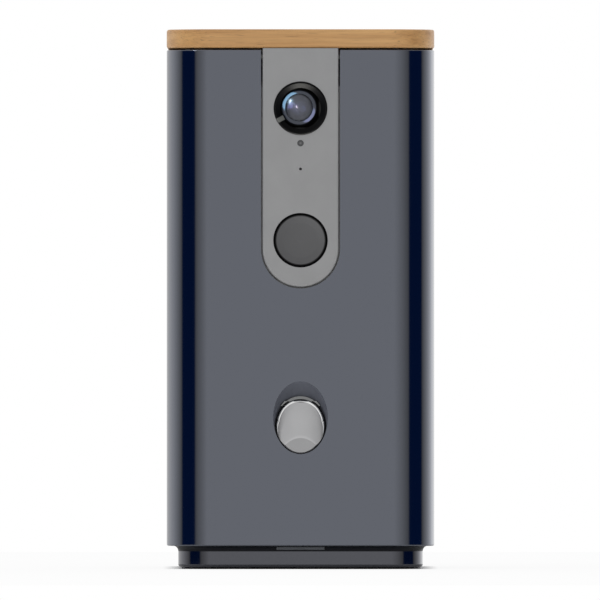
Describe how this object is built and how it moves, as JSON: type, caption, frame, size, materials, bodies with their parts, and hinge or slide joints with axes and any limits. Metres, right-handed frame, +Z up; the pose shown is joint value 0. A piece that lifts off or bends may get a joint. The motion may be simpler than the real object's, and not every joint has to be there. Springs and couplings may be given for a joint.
{
  "type": "pet treat feeder with camera",
  "caption": "Square-sided pet treat feeder with rounded corners, bamboo lift-off lid, front camera panel with button, and a scooped treat outlet closed by a sprung flap.",
  "frame": {"origin": "middle of the footprint, on the plane that the feet stand on", "axes": "+Z up, front with camera and outlet towards -Y, +X to the viewer's right"},
  "size_m": [0.14, 0.1406, 0.282],
  "materials": {
    "bamboo": "satin oiled bamboo",
    "shell": "gloss metallic slate grey",
    "base": "gloss metallic slate grey",
    "panel": "satin mid grey",
    "flap": "satin light grey",
    "button": "matte dark grey",
    "black": "satin black",
    "natural": "plain off-white",
    "board": "lacquered circuit board",
    "steel": "bright zinc",
    "rubber": "matt",
    "lens_glass": "blue coated glass",
    "light_bar": "frosted"
  },
  "bodies": {
    "housing": {"outer_shell": "shell", "outlet_nozzle": "shell", "base_plate": "base", "cove_ring": "black", "base_screws": "steel", "rubber_feet": "rubber", "light_bar": "light_bar", "light_bar_board": "board", "camera_panel": "panel", "camera_bezel": "black", "front_lens": "lens_glass", "inner_lens": "lens_glass", "lens_barrel": "black", "camera_mount": "black", "light_pipe": "black", "mic_boot": "rubber", "microphone": "steel", "front_board": "board", "front_board_screws": "steel", "button_switch": "black", "hinge_hood": "flap", "flap_seal": "rubber", "flap_pin": "black", "launch_tube": "natural", "tube_cap": "natural", "tube_cap_screws": "steel", "tube_foot_screws": "steel", "launch_motor": "steel", "launch_motor_screws": "steel", "hopper": "natural", "hopper_screws": "steel", "baffle_plate": "natural", "rotor_floor": "natural", "floor_screws": "steel", "feed_motor": "steel", "feed_motor_screws": "steel", "drop_chute": "natural", "chute_screws": "steel", "main_board": "board", "main_board_screws": "steel", "power_jack": "black", "reset_switch": "black", "speaker": "black", "speaker_screws": "steel", "button_spring": "steel", "flap_spring": "steel", "launch_spring": "steel"},
    "lid": {"lid_board": "bamboo", "lid_plug": "natural", "lid_seal": "rubber", "lid_screws": "steel"},
    "flap": {"outlet_flap": "flap"},
    "button": {"call_button": "button"},
    "reset": {"reset_button": "black"},
    "rotor": {"rotor": "panel", "rotor_shaft": "steel"},
    "plunger": {"plunger": "black"},
    "sector": {"sector_gear": "natural", "sector_shaft": "steel"}
  },
  "joints": [
    {"name": "lid_lift", "type": "slide", "parent": "housing", "child": "lid", "axis": [0, 0, 1], "range_m": [0, 0.045]},
    {"name": "flap_hinge", "type": "hinge", "parent": "housing", "child": "flap", "pos_m": [0, -0.06346, 0.08632], "axis": [-1, 0, 0], "range_deg": [0, 66], "stiffness_Nm_per_rad": 0.004, "springref_deg": -28.65, "deforming": ["flap_spring"]},
    {"name": "button_press", "type": "slide", "parent": "housing", "child": "button", "axis": [0, 1, 0], "range_m": [0, 0.0012], "stiffness_N_per_m": 700, "springref_m": -0.001, "deforming": ["button_spring"]},
    {"name": "reset_press", "type": "slide", "parent": "housing", "child": "reset", "axis": [0, -1, 0], "range_m": [0, 0.0007], "stiffness_N_per_m": 800, "springref_m": -0.0008},
    {"name": "rotor_turn", "type": "hinge", "parent": "housing", "child": "rotor", "pos_m": [0, 0.01, 0.136], "axis": [0, 0, 1], "continuous": true},
    {"name": "plunger_draw", "type": "slide", "parent": "housing", "child": "plunger", "axis": [0, 0.7547, -0.6561], "range_m": [0, 0.018], "stiffness_N_per_m": 160, "springref_m": -0.006, "deforming": ["launch_spring"]},
    {"name": "sector_turn", "type": "hinge", "parent": "housing", "child": "sector", "pos_m": [0.0221, -0.02585, 0.04062], "axis": [0, 0.6561, 0.7547], "range_deg": [-100, 6]}
  ],
  "couplings": [
    {"joint": "sector_turn", "follows": "plunger_draw", "rad_per_m": -80}
  ]
}
